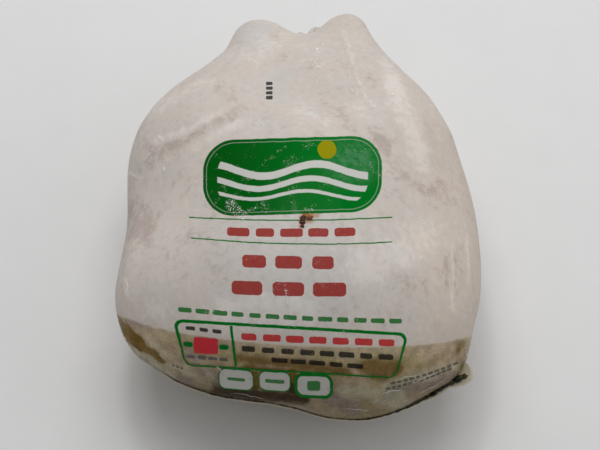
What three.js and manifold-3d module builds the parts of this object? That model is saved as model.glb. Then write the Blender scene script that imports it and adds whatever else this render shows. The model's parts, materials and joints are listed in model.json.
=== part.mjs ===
// A whole chicken lying on its back, sealed in a tight shrink-film bag.
// Millimetres, +Z up. The neck end points along -Y and the hocks along +Y.
// The origin is the middle of the footprint, on the surface the pack lies on.
//
// The bag clings to the bird, so bird and film are one solid: a few rounded
// lumps for breast, back, thighs, drumsticks, wings, neck end and vent, blended
// the way stretched film bridges the hollows between them. A welded fin of film
// crosses each end, and the neck end's fin runs out in a loose corner.
import * as THREE from "three";
import { mergeVertices } from "three/addons/utils/BufferGeometryUtils.js";
import Module from "manifold-3d";

// Driving dimensions ------------------------------------------------------

// How far the tight film bridges the hollow between two neighbouring lumps, and
// how far it bridges the small one beside the left hock.
const filmBridge = 28;
const heelBridge = 10;

// Egg-shaped lumps: where their middles are, and their half sizes.
const eggs = {
  breast: { at: [-6, -52, 57], half: [79.5, 48, 49] },
  keel: { at: [1, -14, 62], half: [52, 60, 48] },
  back: { at: [0, 8, 36], half: [73, 86, 42] },
  leftThigh: { at: [-51, 25, 46], half: [41, 53, 36] },
  rightThigh: { at: [46.5, 13, 46], half: [34, 60, 36] },
  leftWing: { at: [-76, -44, 44], half: [11, 28, 26] },
  rightWing: { at: [68, -41, 44], half: [16.5, 46, 26] },
  neckEnd: { at: [26.5, -75.5, 44], half: [32.5, 29.5, 34] },
  leftShoulder: { at: [-35.5, -68, 42], half: [25, 17, 30] },
  vent: { at: [2, 66, 52], half: [20.5, 26, 24] },
  leftHeel: { at: [-30, 101, 56], half: [7, 10.5, 9] },
};

// Drumsticks: knee and hock, with the radius of the leg at each.
const kneeRadius = 22;
const drumsticks = {
  left: { knee: [-43, 33, 58], hock: [-22, 102, 56], hockRadius: 13 },
  right: { knee: [40, 33, 58], hock: [24, 107.5, 56], hockRadius: 12 },
};

// The skin is cast outwards from the heart, along the corners of a ball that is
// stretched like the bird, so that its triangles come out nearly even.
const heart = [0, 0, 50];
const ballStretch = [88, 115, 58];
const ballDetail = 18;

// Welded fins: where their sweep turns, how high they sit, which way they face
// (degrees, seen from above, from their start to their end) and how wide they
// stand out of the film. Towards its start the neck fin climbs and swells, and
// it starts in a loose corner, which flaps out its own way.
const finThickness = 1.2;
const finRoot = 5;
const neckFin = {
  turnsRound: [0, -20],
  height: 29.5,
  climb: 13,
  facing: [-36, -150],
  width: 1.0,
  swell: 2.1,
  corner: 6.2,
  cornerFacing: -25,
  ripple: 0.5,
};
const ventFin = {
  turnsRound: [0, 62],
  height: 50,
  climb: 0,
  facing: [122, 58],
  width: 7,
  swell: 0,
  corner: 0,
  cornerFacing: 90,
  ripple: 1.0,
};

// How much of a fin its climb and its loose corner take up, where it swells and
// how far to each side, and how many ripples it has.
const climbShare = 0.32;
const cornerShare = 0.075;
const swellMiddle = 0.095;
const swellHalf = 0.04;
const finRipples = 9;
const finSteps = 96;

// Build --------------------------------------------------------------------

const filmLook = new THREE.MeshStandardMaterial({ color: 0xcbc1bb, roughness: 0.35 });

const module = await Module();
module.setup();

// About how far a point is from an egg-shaped lump, negative inside it.
function eggDistance(point, { at, half }) {
  const size = new THREE.Vector3(...half);
  const scaled = point.clone().sub(new THREE.Vector3(...at)).divide(size);
  const reach = scaled.length();
  const slope = scaled.divide(size).length();
  return (reach * (reach - 1)) / Math.max(slope, 1e-9);
}

// How far a point is from a drumstick, which tapers from knee to hock.
function drumstickDistance(point, { knee, hock, hockRadius }) {
  const shin = new THREE.Line3(new THREE.Vector3(...knee), new THREE.Vector3(...hock));
  const along = shin.closestPointToPointParameter(point, true);
  const nearest = shin.at(along, new THREE.Vector3());
  return point.distanceTo(nearest) - THREE.MathUtils.lerp(kneeRadius, hockRadius, along);
}

// The smaller of two distances, eased where they meet.
function bridge(a, b, reach) {
  const overlap = Math.max(reach - Math.abs(a - b), 0) / reach;
  return Math.min(a, b) - (overlap * overlap * reach) / 4;
}

// Distance to the film over the whole bird, negative inside. The order of the
// lumps matters a little, because each is eased into all those before it.
function filmDistance(point) {
  const distances = [
    eggDistance(point, eggs.breast),
    eggDistance(point, eggs.keel),
    eggDistance(point, eggs.back),
    eggDistance(point, eggs.leftThigh),
    drumstickDistance(point, drumsticks.left),
    eggDistance(point, eggs.leftWing),
    eggDistance(point, eggs.rightThigh),
    drumstickDistance(point, drumsticks.right),
    eggDistance(point, eggs.rightWing),
    eggDistance(point, eggs.neckEnd),
    eggDistance(point, eggs.leftShoulder),
    eggDistance(point, eggs.vent),
  ];
  const pack = distances.reduce((total, distance) => bridge(total, distance, filmBridge));
  return bridge(pack, eggDistance(point, eggs.leftHeel), heelBridge);
}

// How far along a ray from inside the bird the film is, found by halving.
function reachOfFilm(start, direction) {
  let inside = 5;
  let outside = 190;
  const probe = new THREE.Vector3();
  while (outside - inside > 0.0001) {
    const middle = (inside + outside) / 2;
    probe.copy(start).addScaledVector(direction, middle);
    if (filmDistance(probe) < 0) inside = middle;
    else outside = middle;
  }
  return inside;
}

// A geometry with only its positions left, and its shared corners merged.
function welded(geometry) {
  geometry.deleteAttribute("normal");
  geometry.deleteAttribute("uv");
  return mergeVertices(geometry, 1e-5);
}

// The wrapped bird: a stretched ball with its corners pushed out to the film,
// and flattened where its back bears on the surface at height 0.
function wrappedBird() {
  const skin = welded(new THREE.IcosahedronGeometry(1, ballDetail));
  const corners = skin.getAttribute("position");
  const start = new THREE.Vector3(...heart);
  const stretch = new THREE.Vector3(...ballStretch);
  const direction = new THREE.Vector3();
  for (let i = 0; i < corners.count; i += 1) {
    direction.fromBufferAttribute(corners, i).multiply(stretch).normalize();
    const toFloor = direction.z < 0 ? -start.z / direction.z : Infinity;
    const reach = Math.min(reachOfFilm(start, direction), toFloor);
    const corner = start.clone().addScaledVector(direction, reach);
    corners.setXYZ(i, corner.x, corner.y, corner.z);
  }
  return skin;
}

// The level direction that faces a way, given in degrees seen from above.
function levelDirection(facing) {
  const angle = THREE.MathUtils.degToRad(facing);
  return new THREE.Vector3(Math.cos(angle), Math.sin(angle), 0);
}

// A welded fin: a thin bar bent along the film, from its root under the film to
// its free edge. The bar's x runs along the fin, y from root to edge, z across.
function weldedFin(fin) {
  const bar = welded(new THREE.BoxGeometry(1, 1, 1, finSteps, 2, 1));
  const points = bar.getAttribute("position");
  const cornerDirection = levelDirection(fin.cornerFacing);
  for (let i = 0; i < points.count; i += 1) {
    const along = points.getX(i) + 0.5;
    const outward = points.getY(i) + 0.5;
    const climb = fin.climb * Math.max(0, 1 - along / climbShare) ** 1.5;
    const start = new THREE.Vector3(fin.turnsRound[0], fin.turnsRound[1], fin.height + climb);
    const direction = levelDirection(THREE.MathUtils.lerp(fin.facing[0], fin.facing[1], along));
    const inCorner = Math.min(along / cornerShare, 1);
    const flap = fin.corner * Math.max(Math.sin(Math.PI * inCorner), 0) ** 1.3 * outward;
    const endTaper = Math.min(1, along * 20, (1 - along) * 8);
    const width = fin.width + fin.swell * Math.exp(-(((along - swellMiddle) / swellHalf) ** 2));
    const sway = fin.ripple * Math.sin(2 * Math.PI * finRipples * along) * outward;
    const reach = reachOfFilm(start, direction) - finRoot * (1 - outward) + width * endTaper * outward;
    const place = start.clone().addScaledVector(direction, reach).addScaledVector(cornerDirection, flap);
    points.setXYZ(i, place.x, place.y, place.z + points.getZ(i) * finThickness + sway);
  }
  return bar;
}

// A closed geometry as a solid that can be joined to another.
function solidOf(geometry) {
  return new module.Manifold(new module.Mesh({
    numProp: 3,
    vertProperties: new Float32Array(geometry.getAttribute("position").array),
    triVerts: new Uint32Array(geometry.index.array),
  }));
}

function geometryOf(solid) {
  const { vertProperties, triVerts } = solid.getMesh();
  const geometry = new THREE.BufferGeometry();
  geometry.setAttribute("position", new THREE.BufferAttribute(vertProperties, 3));
  geometry.setIndex(new THREE.BufferAttribute(triVerts, 1));
  return geometry;
}

// The whole pack, with the middle of its footprint at the origin.
function wrappedChicken() {
  const joined = [weldedFin(neckFin), weldedFin(ventFin)].reduce(
    (solid, fin) => solid.add(solidOf(fin)),
    solidOf(wrappedBird()),
  );
  const geometry = geometryOf(joined);
  geometry.computeBoundingBox();
  const middle = geometry.boundingBox.getCenter(new THREE.Vector3());
  geometry.translate(-middle.x, -middle.y, 0);
  geometry.computeVertexNormals();
  const mesh = new THREE.Mesh(geometry, filmLook);
  mesh.name = "wrapped_chicken";
  return mesh;
}

const pack = new THREE.Group();
pack.add(wrappedChicken());

export default pack;
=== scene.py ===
import json
import math

import bpy
import numpy as np
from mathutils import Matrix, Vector, noise
from mathutils.bvhtree import BVHTree

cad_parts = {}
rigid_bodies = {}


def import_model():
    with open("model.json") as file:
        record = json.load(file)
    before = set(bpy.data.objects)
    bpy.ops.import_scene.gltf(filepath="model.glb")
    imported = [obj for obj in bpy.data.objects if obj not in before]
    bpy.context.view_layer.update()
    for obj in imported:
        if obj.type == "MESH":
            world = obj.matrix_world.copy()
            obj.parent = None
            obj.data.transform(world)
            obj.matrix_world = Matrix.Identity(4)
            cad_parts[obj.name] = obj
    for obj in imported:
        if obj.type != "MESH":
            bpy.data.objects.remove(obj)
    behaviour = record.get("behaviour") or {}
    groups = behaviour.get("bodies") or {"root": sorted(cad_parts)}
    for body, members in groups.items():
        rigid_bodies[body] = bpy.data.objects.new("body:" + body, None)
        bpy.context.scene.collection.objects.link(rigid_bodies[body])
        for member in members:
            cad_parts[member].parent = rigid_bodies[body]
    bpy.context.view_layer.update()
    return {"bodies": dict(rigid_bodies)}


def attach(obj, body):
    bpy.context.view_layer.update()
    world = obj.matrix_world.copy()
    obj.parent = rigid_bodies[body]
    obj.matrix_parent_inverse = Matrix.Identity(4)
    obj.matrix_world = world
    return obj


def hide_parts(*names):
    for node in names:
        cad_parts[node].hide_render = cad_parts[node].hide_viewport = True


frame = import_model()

rootBody = next(iter(frame["bodies"]))
mm = 0.001

# A whole raw chicken on its back in a tight printed bag. The film is one closed skin over the
# bird, and the bird's own skin shows through where the film has no print.

# the lumps of the CAD solid, in millimetres, blended the way film or skin spans them
birdForm = {
    "shift": (1.58, -8.11, 0.0),    # from the lumps' frame to the middle of the footprint
    "heart": (0.0, 0.0, 50.0),
    "ballStretch": (88.0, 115.0, 58.0),
    "bridge": 28.0,                 # how far the tight film spans from one lump to the next
    "frontFiner": 0.32,             # crowds the corners of a cast ball towards the front
    "search": (5.0, 190.0),         # how far out from the heart the skin is looked for
    "halvings": 22,
    "eggs": {                       # middle, half sizes
        "breast": ((-6, -52, 57), (79.5, 48, 49)),
        "keel": ((1, -14, 62), (52, 60, 48)),
        "back": ((0, 8, 36), (73, 86, 42)),
        "leftThigh": ((-51, 25, 46), (41, 53, 36)),
        "leftWing": ((-76, -44, 44), (11, 28, 26)),
        "rightThigh": ((46.5, 13, 46), (34, 60, 36)),
        "rightWing": ((68, -41, 44), (16.5, 46, 26)),
        "neckEnd": ((26.5, -75.5, 44), (32.5, 29.5, 34)),
        "leftShoulder": ((-35.5, -68, 42), (25, 17, 30)),
        "vent": ((2, 66, 52), (20.5, 26, 24)),
    },
    "legs": {                       # knee, hock, radius at each
        "leftThigh": ((-43, 33, 58), (-22, 102, 56), 22, 13),
        "rightThigh": ((40, 33, 58), (24, 107.5, 56), 22, 12),
    },
    "leftHeel": ((-30, 101, 56), (7, 10.5, 9)),
    "heelBridge": 10.0,
}
shift = np.array(birdForm["shift"]) * mm
heart = np.array(birdForm["heart"]) * mm


def unit(vectors):
    return vectors / np.linalg.norm(vectors, axis=-1, keepdims=True)


def ramp(values, low, high):
    t = np.clip((values - low) / (high - low), 0, 1)
    return t * t * (3 - 2 * t)


def eggDistance(points, egg):
    centre, half = (np.array(part, float) * mm for part in egg)
    scaled = (points - centre) / half
    reach = np.linalg.norm(scaled, axis=1)
    slope = np.linalg.norm(scaled / half, axis=1)
    return reach * (reach - 1) / np.maximum(slope, 1e-9)


def legDistance(points, leg):
    knee, hock = (np.array(end, float) * mm for end in leg[:2])
    shin = hock - knee
    along = np.clip((points - knee) @ shin / (shin @ shin), 0, 1)
    away = np.linalg.norm(points - knee - along[:, None] * shin, axis=1)
    return away - (leg[2] + (leg[3] - leg[2]) * along) * mm


def eased(a, b, bridge):
    overlap = np.maximum(bridge - np.abs(a - b), 0) / bridge
    return np.minimum(a, b) - overlap ** 2 * bridge / 4


def birdDistance(points):
    bridge = birdForm["bridge"] * mm
    total = np.full(len(points), 1.0)
    for name, egg in birdForm["eggs"].items():
        total = eased(total, eggDistance(points, egg), bridge)
        if name in birdForm["legs"]:
            total = eased(total, legDistance(points, birdForm["legs"][name]), bridge)
    return eased(total, eggDistance(points, birdForm["leftHeel"]), birdForm["heelBridge"] * mm)


def castOut(directions, starts=heart, inset=0.0):
    # how far out from inside the bird the skin is, by halving
    near, far = (np.full(len(directions), end * mm) for end in birdForm["search"])
    for _ in range(birdForm["halvings"]):
        middle = (near + far) / 2
        inside = birdDistance(starts + directions * middle[:, None]) < -inset
        near = np.where(inside, middle, near)
        far = np.where(inside, far, middle)
    return near


def gridSquares(corners):
    # the squares between the corners of a grid
    squares = [corners[:-1, :-1], corners[1:, :-1], corners[1:, 1:], corners[:-1, 1:]]
    return np.stack(squares, -1).reshape(-1, 4)


def cubeBall(cells):
    # a ball of squares without poles: the grid of a cube's six faces, blown up round
    grid = np.arange(cells + 1)
    a, b = np.meshgrid(grid, grid, indexing="ij")
    sides = []
    for axis in range(3):
        for end in (0, cells):
            spot = np.empty(a.shape + (3,), int)
            spot[..., axis] = end
            spot[..., (axis + 1) % 3] = a
            spot[..., (axis + 2) % 3] = b
            key = spot @ np.array((1, cells + 1, (cells + 1) ** 2))
            square = gridSquares(key)
            sides.append(square if end else square[:, ::-1])
    used, squares = np.unique(np.concatenate(sides), return_inverse=True)
    spots = np.stack([used // (cells + 1) ** i % (cells + 1) for i in range(3)], 1)
    directions = unit(np.tan((spots / cells - 0.5) * math.pi / 2))
    return directions, squares.reshape(-1, 4)


def castBall(cells, inset=0.0):
    # the bird's skin or film as a ball cast outwards, flat where it bears on the floor
    directions, squares = cubeBall(cells)
    directions = unit(directions * np.array(birdForm["ballStretch"]))
    directions = unit(directions + birdForm["frontFiner"] * printBack)
    down = np.minimum(directions[:, 2], -1e-6)
    toFloor = np.where(directions[:, 2] < -1e-6, (inset - heart[2]) / down, 1.0)
    reach = np.minimum(castOut(directions, inset=inset), toFloor)
    return heart + directions * reach[:, None] + shift, squares


# the print's own flat frame: millimetres across and up, square to the front of the pack
printView = {
    "tilt": 60.0,                   # degrees above the horizon
    "away": 0.70,                   # metres, as the next two
    "target": (0.0, 0.0, 0.05),
    "slide": (0.00021, 0.01402),    # of the middle of the view, across and up
}
tilt = math.radians(printView["tilt"])
printRight = np.array((1.0, 0.0, 0.0))
printBack = np.array((0.0, -math.cos(tilt), math.sin(tilt)))
printUp = np.array((0.0, math.sin(tilt), math.cos(tilt)))
printTarget = np.array(printView["target"])


def printPlace(points):
    offset = points - printTarget
    zoom = printView["away"] / (printView["away"] - offset @ printBack)
    across = offset @ printRight * zoom + printView["slide"][0]
    up = offset @ printUp * zoom + printView["slide"][1]
    return across / mm, up / mm


printEdge = {"low": -62.5, "turn": 30.0, "rise": 0.00085, "lift": 4.0, "half": 95.0}


def belowEdge(across, up):
    # millimetres past the white print's smile-shaped border, into the clear band
    curve = printEdge["rise"] * (across - printEdge["turn"]) ** 2
    ends = printEdge["lift"] * np.minimum(np.abs(across) / printEdge["half"], 1.2) ** 6
    return printEdge["low"] + curve + ends - up


def streakDepth(across, up, streaks):
    # how deep inside the nearest streak (start, end, half width) each spot is, in mm
    paintedShade = np.full(len(across), -9.0)
    for (x0, y0), (x1, y1), half in streaks:
        runX, runY = x1 - x0, y1 - y0
        length = max(runX ** 2 + runY ** 2, 1e-6)
        t = np.clip(((across - x0) * runX + (up - y0) * runY) / length, 0, 1)
        away = np.hypot(across - x0 - t * runX, up - y0 - t * runY)
        paintedShade = np.maximum(paintedShade, half - away)
    return paintedShade


def addObject(name, data):
    made = bpy.data.objects.new(name, data)
    bpy.context.collection.objects.link(made)
    return made


def makePiece(name, points, faces=(), edges=()):
    mesh = bpy.data.meshes.new(name)
    mesh.from_pydata(np.asarray(points).tolist(), edges, [list(face) for face in faces])
    mesh.shade_smooth()
    return addObject(name, mesh)


def makeSlab(name, upper, under, rows):
    # a closed slab between two grids of corners, which faces up where its upper side does
    grid = np.arange(len(upper)).reshape(rows, -1)
    squares = gridSquares(grid)
    rim = np.concatenate([grid[:-1, 0], grid[-1, :-1], grid[:0:-1, -1], grid[0, :0:-1]])
    after = np.roll(rim, -1)
    wall = np.stack([rim, after, after + grid.size, rim + grid.size], 1)
    faces = np.concatenate([squares, squares[:, ::-1] + grid.size, wall[:, ::-1]])
    piece = makePiece(name, np.concatenate([upper, under]), faces)
    if sum(face.normal.z for face in piece.data.polygons[:len(squares)]) < 0:
        piece.data.flip_normals()
    return piece


def vertexVectors(piece, name):
    values = np.empty(len(piece.data.vertices) * 3)
    piece.data.vertices.foreach_get(name, values)
    return values.reshape(-1, 3)


def moveCorners(piece, places):
    piece.data.vertices.foreach_set("co", np.asarray(places, dtype=np.float32).ravel())
    piece.data.update()


def setValues(piece, **layers):
    for name, values in layers.items():
        layer = piece.data.attributes.new(name, "FLOAT", "POINT")
        layer.data.foreach_set("value", np.asarray(values, dtype=np.float32))


def surfaceOf(piece):
    # its corners and normals, their places in the print's frame, how far they face the front of
    # the pack, and how far they are off the floor
    body, normals = vertexVectors(piece, "co"), vertexVectors(piece, "normal")
    across, up = printPlace(body)
    return body, normals, across, up, ramp(normals @ printBack, 0.02, 0.22), ramp(body[:, 2], 0.0, 6 * mm)


def noiseAt(places, step, seed=0.0):
    # smooth noise, -1 to 1, whose features are about step apart (a number or one per axis)
    scaled = places / (np.asarray(step) * mm) + seed
    return np.array([noise.noise(Vector(place)) for place in scaled])


def finish(piece, slot, *replaced):
    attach(piece, rootBody)
    if replaced:
        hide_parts(*replaced)
    print(piece.name + ":", len(piece.data.polygons), "faces")


def feed(tree, socket, value):
    if isinstance(value, bpy.types.NodeSocket):
        tree.links.new(value, socket)
    else:
        socket.default_value = value


def feedAll(tree, node, values):
    for name, value in values.items():
        feed(tree, node.inputs[name], value)


def put(tree, kind, values=None, **settings):
    node = tree.nodes.new(kind)
    for name, value in settings.items():
        setattr(node, name, value)
    feedAll(tree, node, values or {})
    return node


def calc(tree, operation, a, b=0.0, c=0.0):
    return put(tree, "ShaderNodeMath", {0: a, 1: b, 2: c}, operation=operation).outputs[0]


def plus(tree, a, b):
    return calc(tree, "ADD", a, b)


def minus(tree, a, b):
    return calc(tree, "SUBTRACT", a, b)


def times(tree, a, b):
    return calc(tree, "MULTIPLY", a, b)


def between(tree, value, low, high, first=0.0, last=1.0):
    # eases from first to last as value goes from low to high
    values = {0: value, 1: low, 2: high, 3: first, 4: last}
    return put(tree, "ShaderNodeMapRange", values, interpolation_type="SMOOTHSTEP").outputs[0]


def apart(tree, a, b):
    return calc(tree, "ABSOLUTE", minus(tree, a, b))


def stirred(tree, value, cloud, amount):
    # a value moved up and down by noise that goes from 0 to 1
    return calc(tree, "MULTIPLY_ADD", minus(tree, cloud, 0.5), amount, value)


def within(tree, away, soft):
    # 1 inside an edge, eased to 0 outside it, from how far away the edge is
    return between(tree, away, soft, times(tree, soft, -1.0))


def blendColour(tree, factor, first, second, way="MIX"):
    values = {0: factor, 6: first, 7: second}
    return put(tree, "ShaderNodeMix", values, data_type="RGBA", blend_type=way).outputs[2]


def pointValue(tree, name):
    return put(tree, "ShaderNodeAttribute", attribute_name=name).outputs["Fac"]


def objectPlace(tree):
    return put(tree, "ShaderNodeTexCoord").outputs["Object"]


def speckle(tree, place, scale, detail=3.0, roughness=0.55, warp=0.0):
    values = {"Vector": place, "Scale": scale, "Detail": detail, "Roughness": roughness}
    return put(tree, "ShaderNodeTexNoise", {**values, "Distortion": warp}).outputs[0]


def bumped(tree, height, strength, distance, normal=None):
    node = put(tree, "ShaderNodeBump", {"Strength": strength, "Distance": distance, "Height": height})
    if normal:
        feed(tree, node.inputs["Normal"], normal)
    return node.outputs[0]


def colour(red, green, blue):
    def linear(part):
        part /= 255
        return part / 12.92 if part <= 0.04045 else ((part + 0.055) / 1.055) ** 2.4
    return (linear(red), linear(green), linear(blue), 1.0)


def grey(level):
    return (level, level, level, 1.0)


def newMaterial(name):
    material = bpy.data.materials.new(name)
    material.use_nodes = True
    tree = material.node_tree
    shader = next(node for node in tree.nodes if node.type == "BSDF_PRINCIPLED")
    return material, tree, shader


def newGroup(name, numbers, vectors=(), masks=("mask",), colours=()):
    group = bpy.data.node_groups.new(name, "ShaderNodeTree")
    for socket in vectors:
        group.interface.new_socket(socket, in_out="INPUT", socket_type="NodeSocketVector")
    for socket, value in numbers.items():
        made = group.interface.new_socket(socket, in_out="INPUT", socket_type="NodeSocketFloat")
        made.default_value = value
    for socket in masks:
        group.interface.new_socket(socket, in_out="OUTPUT", socket_type="NodeSocketFloat")
    for socket in colours:
        group.interface.new_socket(socket, in_out="OUTPUT", socket_type="NodeSocketColor")
    return group, group.nodes.new("NodeGroupInput").outputs, group.nodes.new("NodeGroupOutput").inputs


def useGroup(tree, group, values):
    node = put(tree, "ShaderNodeGroup", node_tree=group)
    feedAll(tree, node, values)
    return node.outputs


def roundedAway(tree, pastX, pastY, corner):
    # how far past a rounded rectangle's edge, from how far past its sides and its ends
    overX = plus(tree, pastX, corner)
    overY = plus(tree, pastY, corner)
    outX = calc(tree, "MAXIMUM", overX, 0.0)
    outY = calc(tree, "MAXIMUM", overY, 0.0)
    squares = calc(tree, "MULTIPLY_ADD", outX, outX, times(tree, outY, outY))
    inner = calc(tree, "MINIMUM", calc(tree, "MAXIMUM", overX, overY), 0.0)
    return minus(tree, plus(tree, calc(tree, "SQRT", squares), inner), corner)


def roundPatchGroup():
    # a rounded rectangle: its fill, and an outline along its edge
    group, given, out = newGroup(
        "roundPatch",
        {"across": 0, "up": 0, "atAcross": 0, "atUp": 0, "halfWide": 10, "halfHigh": 5,
         "corner": 2, "lean": 0, "taper": 0, "line": 0.4, "soft": 0.2},
        masks=("fill", "outline"),
    )
    x = minus(group, given["across"], given["atAcross"])
    middle = calc(group, "MULTIPLY_ADD", x, given["lean"], given["atUp"])
    y = minus(group, given["up"], middle)
    x = calc(group, "DIVIDE", x, calc(group, "MULTIPLY_ADD", y, given["taper"], 1.0))
    pastX = minus(group, calc(group, "ABSOLUTE", x), given["halfWide"])
    pastY = minus(group, calc(group, "ABSOLUTE", y), given["halfHigh"])
    away = roundedAway(group, pastX, pastY, given["corner"])
    feed(group, out["fill"], within(group, away, given["soft"]))
    fromLine = minus(group, calc(group, "ABSOLUTE", away), given["line"])
    feed(group, out["outline"], within(group, fromLine, given["soft"]))
    return group


def markRowGroup():
    # a row of plain dashes of uneven length
    group, given, out = newGroup(
        "markRow",
        {"across": 0, "up": 0, "left": -10, "right": 10, "base": 0, "tall": 5, "lean": 0,
         "sag": 0, "pitch": 4, "seed": 0, "corner": 0.5, "soft": 0.14},
    )
    middle = times(group, plus(group, given["left"], given["right"]), 0.5)
    half = minus(group, given["right"], middle)
    x = minus(group, given["across"], middle)
    share = calc(group, "DIVIDE", x, half)
    bent = times(group, times(group, share, share), given["sag"])
    line = plus(group, calc(group, "MULTIPLY_ADD", x, given["lean"], given["base"]), bent)
    y = minus(group, given["up"], line)
    steps = calc(group, "DIVIDE", minus(group, given["across"], given["left"]), given["pitch"])
    cell = calc(group, "FLOOR", steps)
    inCell = minus(group, minus(group, steps, cell), 0.5)
    # a number from 0 to 1 that looks random from one cell to the next
    turn = calc(group, "MULTIPLY_ADD", cell, 12.9898, times(group, given["seed"], 7.3))
    chance = calc(group, "FRACT", times(group, calc(group, "SINE", turn), 437.585))
    dashHalf = calc(group, "MULTIPLY_ADD", chance, 0.13, 0.31)
    pastX = times(group, minus(group, calc(group, "ABSOLUTE", inCell), dashHalf), given["pitch"])
    halfTall = times(group, given["tall"], 0.5)
    pastY = minus(group, apart(group, y, halfTall), halfTall)
    away = roundedAway(group, pastX, pastY, given["corner"])
    dash = within(group, away, given["soft"])
    inRow = between(group, minus(group, calc(group, "ABSOLUTE", x), half), 0.1, -0.1)
    feed(group, out["mask"], times(group, dash, inRow))
    return group


def ruleLineGroup():
    # a thin line, straight, sloping or sagging
    group, given, out = newGroup(
        "ruleLine",
        {"across": 0, "up": 0, "atAcross": 0, "atUp": 0, "half": 50, "slope": 0, "sag": 0,
         "line": 0.3, "soft": 0.18},
    )
    x = minus(group, given["across"], given["atAcross"])
    share = calc(group, "DIVIDE", x, given["half"])
    level = calc(group, "MULTIPLY_ADD", times(group, share, share), given["sag"], given["atUp"])
    level = calc(group, "MULTIPLY_ADD", x, given["slope"], level)
    away = apart(group, given["up"], level)
    onLine = within(group, minus(group, away, given["line"]), given["soft"])
    inSpan = between(group, calc(group, "ABSOLUTE", share), 1.0, 0.985)
    feed(group, out["mask"], times(group, onLine, inSpan))
    return group


def waveGroup():
    # a sweep that rises and falls across a patch
    group, given, out = newGroup(
        "wave",
        {"across": 0, "up": 0, "level": 0, "swing": 3, "length": 60, "phase": 0, "line": 1.0, "soft": 0.25},
    )
    turn = calc(group, "DIVIDE", given["across"], given["length"])
    turn = calc(group, "MULTIPLY_ADD", turn, 2 * math.pi, given["phase"])
    level = calc(group, "MULTIPLY_ADD", calc(group, "SINE", turn), given["swing"], given["level"])
    away = apart(group, given["up"], level)
    feed(group, out["mask"], within(group, minus(group, away, given["line"]), given["soft"]))
    return group


def crinkleGroup():
    # the height of fine shrink wrinkles: long soft ridges with small ones between
    group, given, out = newGroup("crinkle", {"scale": 1.0}, vectors=("place",), masks=("height",))
    stretched = put(group, "ShaderNodeMapping", {"Vector": given["place"], "Scale": (150.0, 60.0, 105.0)})
    long = speckle(group, stretched.outputs[0], given["scale"], 4.0, 0.6, 0.6)
    ridges = apart(group, long, 0.5)
    small = speckle(group, given["place"], times(group, given["scale"], 900.0), 2.0)
    feed(group, out["height"], calc(group, "MULTIPLY_ADD", small, 0.12, ridges))
    return group


skin = {
    "tan": colour(185, 166, 139),
    "oliveTan": colour(172, 158, 118),
    "pink": colour(158, 142, 134),
    # pale frosty colour, partly a painted sheen
    "frostAndSheen": colour(206, 199, 172),
    "brown": colour(132, 108, 64),
    "olive": colour(130, 102, 46),
    "murk": colour(72, 54, 26),
    "grain": 1000.0,
    # painted shade: the skin is painted darker deeper into the clear band, towards the neck seam
    "paintedShade": (4.0, 28.0, 1.0, 0.66),  # mm into the clear band, and how bright the skin is there
    # stained places at the front, seen through the clear band, and pale frosty streaks that are partly a
    # painted
    # sheen: start, end, half width; the later kinds lie over the earlier ones
    "stains": {
        "pink": [
            ((-63, -79.5), (-56, -82.6), 2.4), ((-88, -50), (-80, -52), 2), ((14, -88), (28.4, -95.5), 4),
            ((-46, -77), (-40, -84), 2.4), ((-60, -62), (-50, -76), 2),
            ((50, -84.5), (66, -82.5), 3.2), ((66, -82.5), (79, -77.5), 2.6),
        ],
        # pale frosty streaks on the wet film, partly a painted sheen
        "frostAndSheen": [
            ((-87.8, -62.9), (-82.4, -66.8), 1.2), ((-82.4, -66.8), (-77.7, -68.8), 1.5),
            ((-77.7, -68.8), (-72.5, -73.2), 1.9), ((-72.5, -73.2), (-66.3, -77.9), 1.7),
            ((-80.8, -59.4), (-77.6, -62.4), 0.6), ((-77.6, -62.4), (-71, -67.9), 1),
            ((32, -86), (54, -94), 3.6), ((44, -84), (66, -78), 2.4),
            ((66, -78.5), (82, -72), 2.2), ((-52, -71), (-46, -79), 1),
            ((-79.6, -58.6), (-66, -70), 1.2), ((-64, -73), (-56, -76), 2),
            ((-12, -91.6), (2, -93.4), 1.3), ((22, -86), (52, -88), 3),
        ],
        "brown": [
            ((34, -73.2), (49.5, -74.4), 4.2), ((38.5, -78), (43.5, -78), 2.6),
            ((-31, -69), (-4, -72.5), 2.4), ((-6, -72), (24, -76), 2.6),
            ((80.6, -60.8), (85, -61.6), 1.2), ((82.6, -62), (82.2, -66), 0.9),
            ((-28, -74), (-8, -76), 2), ((83.6, -70.5), (84.6, -77), 1),
        ],
        "olive": [
            ((-94, -48.5), (-91.4, -52.6), 1.6), ((-91.4, -52.6), (-87.6, -57.6), 2.5),
            ((-87.6, -57.6), (-82.6, -61.8), 3.2), ((-82.6, -61.8), (-79.4, -64.9), 2.3),
            ((-79.4, -64.9), (-76.2, -65.6), 1.5), ((-76.2, -65.6), (-71.5, -70.7), 1.6),
            ((-95, -47), (-92, -56), 1.6), ((-6, -82), (2, -88), 3),
            ((-23.4, -77.5), (-23.2, -84.5), 2), ((-4, -76), (-3, -84), 2.4),
        ],
        "murk": [
            ((-43, -86), (-22, -88.4), 3.2), ((-22, -88), (2, -90.4), 3),
            ((-6, -84), (0, -87), 3.4), ((-60, -84.5), (-44, -87.5), 1.2),
        ],
    },
}


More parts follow.
